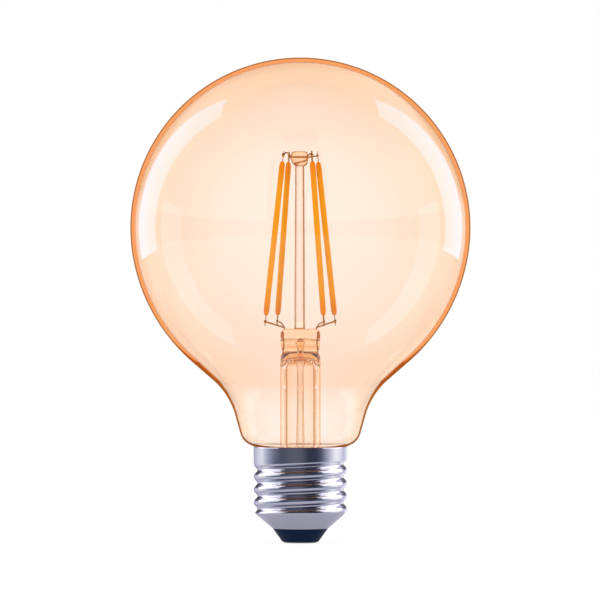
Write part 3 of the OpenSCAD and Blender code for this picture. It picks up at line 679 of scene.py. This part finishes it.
def glass_side(depth):
    """Radius and height down one side of the glass, `depth` under its outer face: four arcs that meet.

    They are the globe, a fuller arc from 10 degrees under its equator, the hollow throat and the shoulder,
    where the glass was drawn out thinner.
    """
    slope, neck = math.radians(cone_slope), math.radians(neck_slope)
    fuller = math.radians(fuller_below)
    below = np.array([-math.cos(fuller), math.sin(fuller)]) * fuller_by + (0, globe_z)
    cone = below + (globe_r + fuller_by) * np.array([math.cos(slope), -math.sin(slope)])
    throat_z = (cone[1] * math.tan(slope) - cone[0] + shoulder_r - shoulder_z * math.tan(neck)) / (
        math.tan(slope) - math.tan(neck))
    throat_r = shoulder_r + (throat_z - shoulder_z) * math.tan(neck)
    cut = throat_curve_r * math.tan((slope - neck) / 2)
    throat = (np.array([throat_r, throat_z]) + cut * np.array([math.sin(slope), math.cos(slope)])
              + throat_curve_r * np.array([math.cos(slope), -math.sin(slope)]))
    across = np.array([math.cos(neck), -math.sin(neck)])
    shoulder = np.array([shoulder_r, shoulder_z]) - shoulder_curve_r * across
    return np.concatenate([
        arc((0, globe_z), globe_r - depth, 90, -fuller_below, 90),
        arc(below, globe_r + fuller_by - depth, -fuller_below - 1, -cone_slope, 34),
        arc(throat, throat_curve_r + depth * np.linspace(1, 0.45, 24),
            180 - cone_slope, 180 - neck_slope, 24),
        arc(shoulder, shoulder_curve_r - depth * np.linspace(0.45, 0.3, 16),
            -neck_slope, -shoulder_slope, 16),
    ])


envelope = np.concatenate([
    glass_side(0),
    [(collar_r + 0.25, cap_rim_z + 0.1), (collar_r - 0.5, cap_rim_z + 0.05), (neck_r + 0.2, cap_rim_z - 0.6),
     (neck_r, cap_rim_z - 1.05), (neck_r, seal_z)],
    [(neck_r - glass_wall, seal_z), (neck_r - 0.6, cap_rim_z - 1.2), (neck_r - 0.2, cap_rim_z - 0.5)],
    glass_side(glass_wall)[::-1],
])
globe = grid_mesh("globe_glass", [turned(envelope, 256)], sharp=60)
amber = Glass(
    "amber_glass",
    [(0, (1, 0.98, 0.955)), (0.1, (1, 0.965, 0.935)), (0.2, (1, 0.925, 0.865)), (0.3, (1, 0.9, 0.83)),
     (0.45, (1, 0.9, 0.79)), (0.55, (1, 0.885, 0.75)), (0.66, (1, 0.86, 0.68)), (0.75, (1, 0.78, 0.5))],
    (1, 0.94, 0.82), (0.74, 0.79), outline=(0.66, 0.42, 0.18), absorbs=(0.99, 0.47, 0.0), density=100,
)
# Which faces line the hollow, and how low the others lie, for the colours at the glass's edge.
centres, normals = np.empty((2, len(globe.data.polygons), 3))
globe.data.polygons.foreach_get("center", centres.reshape(-1))
globe.data.polygons.foreach_get("normal", normals.reshape(-1))
inner = ((centres - (0, 0, globe_z * MM)) * normals).sum(axis=1) < 0
low = np.where(inner, -1, 1 - smooth_step((centres[:, 2] / MM - 44) / 14))
inner = inner * (0.12 + 0.5 * (1 - smooth_step((centres[:, 2] / MM - 31) / 5)))
for name, share in (("inner", inner), ("low", low)):
    globe.data.attributes.new(name, "FLOAT", "FACE").data.foreach_set("value", share)
globe.data.materials.append(amber.material)
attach(globe, "root")
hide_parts("globe_envelope")
lit_by_boxes.objects.link(globe)


# ---------------------------------------------------------------------------------------------
# Screw shell of thin sheet brass with bright nickel plate. The thread is rolled into the sheet,
# the collar above it stays plain, and the sheet is drawn in to a cone that grips the insulator.

crest_d, root_d, pitch, crest_z, sheet_t = 26.05, 24.0, 3.629, 9.4, 0.3
shell_foot_z, shell_foot_r, shell_slope = 4.0, 7.75, math.radians(49.2)
collar_edge_z, collar_edge_tilt = 22.6, 0.4


def shell_r(a, z, inside):
    """The sheet's radius at direction a and height z: mean + depth cos(2 pi (z - crest) / pitch - a).

    Under the collar the thread blends into the plain cylinder along its own slope, and the cone cuts it
    below.
    """
    phase = 2 * np.pi * (z - crest_z) / pitch - a
    wave = np.cos(phase) + 0.11 * (1 - np.cos(2 * phase))
    thread = (crest_d + root_d) / 4 + (crest_d - root_d) / 4 * wave
    w = smooth_step(z - collar_edge_z - collar_edge_tilt * np.cos(a) + 0.5)
    plain = (1 - w) * thread + w * (collar_r - 0.02 * inside)
    cone = shell_foot_r + (z - shell_foot_z) * math.tan(shell_slope)
    wall = plain - inside * sheet_t
    conic = cone - inside * sheet_t / math.cos(shell_slope)
    soft = 0.12
    return 0.5 * (wall + conic - np.sqrt((wall - conic) ** 2 + soft ** 2))


turn = np.linspace(0, 2 * np.pi, 192, endpoint=False)[None, :]
up = [np.linspace(shell_foot_z, 8.6, 24), np.linspace(8.7, 23.4, 150), np.linspace(23.6, 26.45, 8)]
up = np.concatenate(up)[:, None]
down = up[::-3]
roll = np.radians(np.linspace(0, 180, 10))[:, None]
rim_r, rim_z = collar_r - sheet_t / 2 * (1 - np.cos(roll)), 26.6 + 0.3 * np.sin(roll)
sheet_rows = [
    np.stack(np.broadcast_arrays(r, turn, z), axis=-1)
    for r, z in ((shell_r(turn, up, 0), up), (rim_r, rim_z), (shell_r(turn, down, 1), down))
]
r, a, z = np.moveaxis(np.concatenate([*sheet_rows, sheet_rows[0][:1]]), -1, 0)
shell = grid_mesh("screw_shell", [np.stack([r * np.cos(a), r * np.sin(a), z], axis=-1)], sharp=50)

nickel = bpy.data.materials.new("cap_metal")
nickel.use_nodes = True
shade = Shader(nickel.node_tree)
place = shade.node("ShaderNodeTexCoord", out="Object")
stretched = shade.node("ShaderNodeMapping", None, {"Vector": place, "Scale": (30, 30, 2600)})
lines = shade.node("ShaderNodeTexNoise", None, {"Vector": stretched, "Scale": 1.0, "Detail": 3.0})
cloud = shade.node("ShaderNodeTexNoise", None, {"Vector": place, "Scale": 160.0, "Detail": 5.0})
relief = lines + 0.5 * cloud
relief = shade.node("ShaderNodeBump", None, {"Height": relief, "Strength": 0.02, "Distance": 0.0001})
skin = shade.node(
    "ShaderNodeBsdfPrincipled", None,
    {"Base Color": shade.mix(cloud, (0.84, 0.84, 0.90), (0.90, 0.90, 0.96)), "Metallic": 1.0,
     "Roughness": 0.08 + 0.07 * lines + 0.05 * cloud, "Normal": relief},
)
shade.node("ShaderNodeOutputMaterial", None, {"Surface": skin})
shell.data.materials.append(nickel)
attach(shell, "root")
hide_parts("cap_shell")
lit_by_boxes.objects.link(shell)
lit_by_panels.objects.link(shell)


# ---------------------------------------------------------------------------------------------
# Insulator of near-black glass, moulded into the bottom edge of the screw shell. It has a recess for
# the contact and a hole for its pin.

insulator_profile = [
    (1.25, 0.8), (4.62, 0.8), (4.62, 0.3), (4.75, 0.22), (4.95, 0.27), (5.15, 0.42), (5.3, 0.62), (6.5, 2.28),
    (7.7, 3.93), (7.2, 3.98), (7.21, 4.0), (8.9, 5.45), (8.9, 6.2), (6.5, 6.2), (5.5, 4.8), (1.25, 4.8),
]
insulator = grid_mesh("tip_insulator", [turned(insulator_profile + insulator_profile[:1], 96)], sharp=35)
black_glass = finish(
    "insulator_black", (0.0015, 0.008, 0.03), 0.3, 0, 0.05, 300.0, (0.002, 0.01, 0.036), gloss=0.12,
)
insulator.data.materials.append(black_glass)
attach(insulator, "root")
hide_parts("cap_insulator")


# ---------------------------------------------------------------------------------------------
# Contact of tinned brass, shaped like a nail: a flat head with a rounded edge, and a pin that is
# pressed into the insulator.

contact_profile = [(0, 0), (4.3, 0), (4.45, 0.04), (4.56, 0.13), (4.6, 0.27), (4.6, 0.79), (1.2, 0.79),
                   (1.2, 4.2), (0.8, 4.6), (0, 4.6)]
contact = grid_mesh("tip_contact", [turned(contact_profile, 96)], sharp=35)
tinned_brass = finish("contact_metal", (0.66, 0.62, 0.54), 0.3, 1.0, 0.25, 500.0, (0.55, 0.5, 0.42))
contact.data.materials.append(tinned_brass)
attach(contact, "root")
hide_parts("centre_contact")


# ---------------------------------------------------------------------------------------------
# Cement that holds the glass neck in the collar: a chalky paste of marble flour and resin, baked
# hard. Its colour has a faint painted glow, which stands in for the light that comes down to it inside the
# glass.

# The glow here is painted light in the cement's own colour.
repaint("basing_cement", (0.82, 0.72, 0.58), 0.9, 0, 0.8, 700, (0.7, 0.6, 0.47), glow=0.7)


# ---------------------------------------------------------------------------------------------
# Liner of white moulded plastic, a cup that keeps the boards away from the screw shell.
# It stands on the cone of the shell, and the driver board is held in its grooves.

repaint("insulating_liner", (0.82, 0.82, 0.8), 0.45, 0, 0.1, 200)


# ---------------------------------------------------------------------------------------------
# Driver board of green glass-fibre laminate, with its parts soldered on: capacitor in a dark
# sleeve, ferrite drum wound with copper, moulded rectifier and chip, and a coated resistor.

repaint("driver_board", (0.03, 0.18, 0.07), 0.35, 0, 0.15, 500, (0.02, 0.13, 0.05))
repaint("bulk_capacitor", (0.02, 0.03, 0.08), 0.35, 0, 0.1, 300)
repaint("inductor_core", (0.03, 0.03, 0.033), 0.6, 0, 0.4, 900)
repaint("inductor_winding", (0.72, 0.3, 0.12), 0.3, 1, 0.3, 1500)
repaint("bridge_rectifier", (0.02, 0.02, 0.022), 0.5, 0, 0.3, 1500)
repaint("driver_chip", (0.02, 0.02, 0.022), 0.5, 0, 0.3, 1500)
repaint("chip_legs", (0.7, 0.7, 0.7), 0.3, 1, 0.1, 900)
repaint("fusible_resistor", (0.10, 0.22, 0.15), 0.4, 0, 0.2, 800)
repaint("ceramic_capacitors", (0.42, 0.3, 0.18), 0.5, 0, 0.2, 900)


# ---------------------------------------------------------------------------------------------
# Radio board of blue laminate, upright on gold-plated pins beside the driver's parts. It carries
# a tinned shield can, a crystal in a steel case, and an aerial etched in gilded copper.

repaint("radio_board", (0.02, 0.06, 0.17), 0.35, 0, 0.15, 500, (0.015, 0.045, 0.13))
repaint("radio_shield", (0.72, 0.72, 0.7), 0.28, 1, 0.1, 500)
repaint("radio_crystal", (0.75, 0.75, 0.73), 0.22, 1, 0.1, 500)
repaint("radio_antenna", (0.9, 0.62, 0.2), 0.25, 1, 0.1, 900)
repaint("board_pins", (0.9, 0.65, 0.25), 0.25, 1, 0.1, 900)


# ---------------------------------------------------------------------------------------------
# Wires of copper in coloured plastic, one to the contact at the tip and one to the screw shell,
# and sleeves of woven glass fibre pushed over the two lead wires under the press.

repaint("live_wire", (0.5, 0.03, 0.02), 0.45, 0, 0.1, 700)
repaint("neutral_wire", (0.02, 0.04, 0.3), 0.45, 0, 0.1, 700)
repaint("lead_sleeves", (0.8, 0.78, 0.7), 0.8, 0, 0.8, 1500)
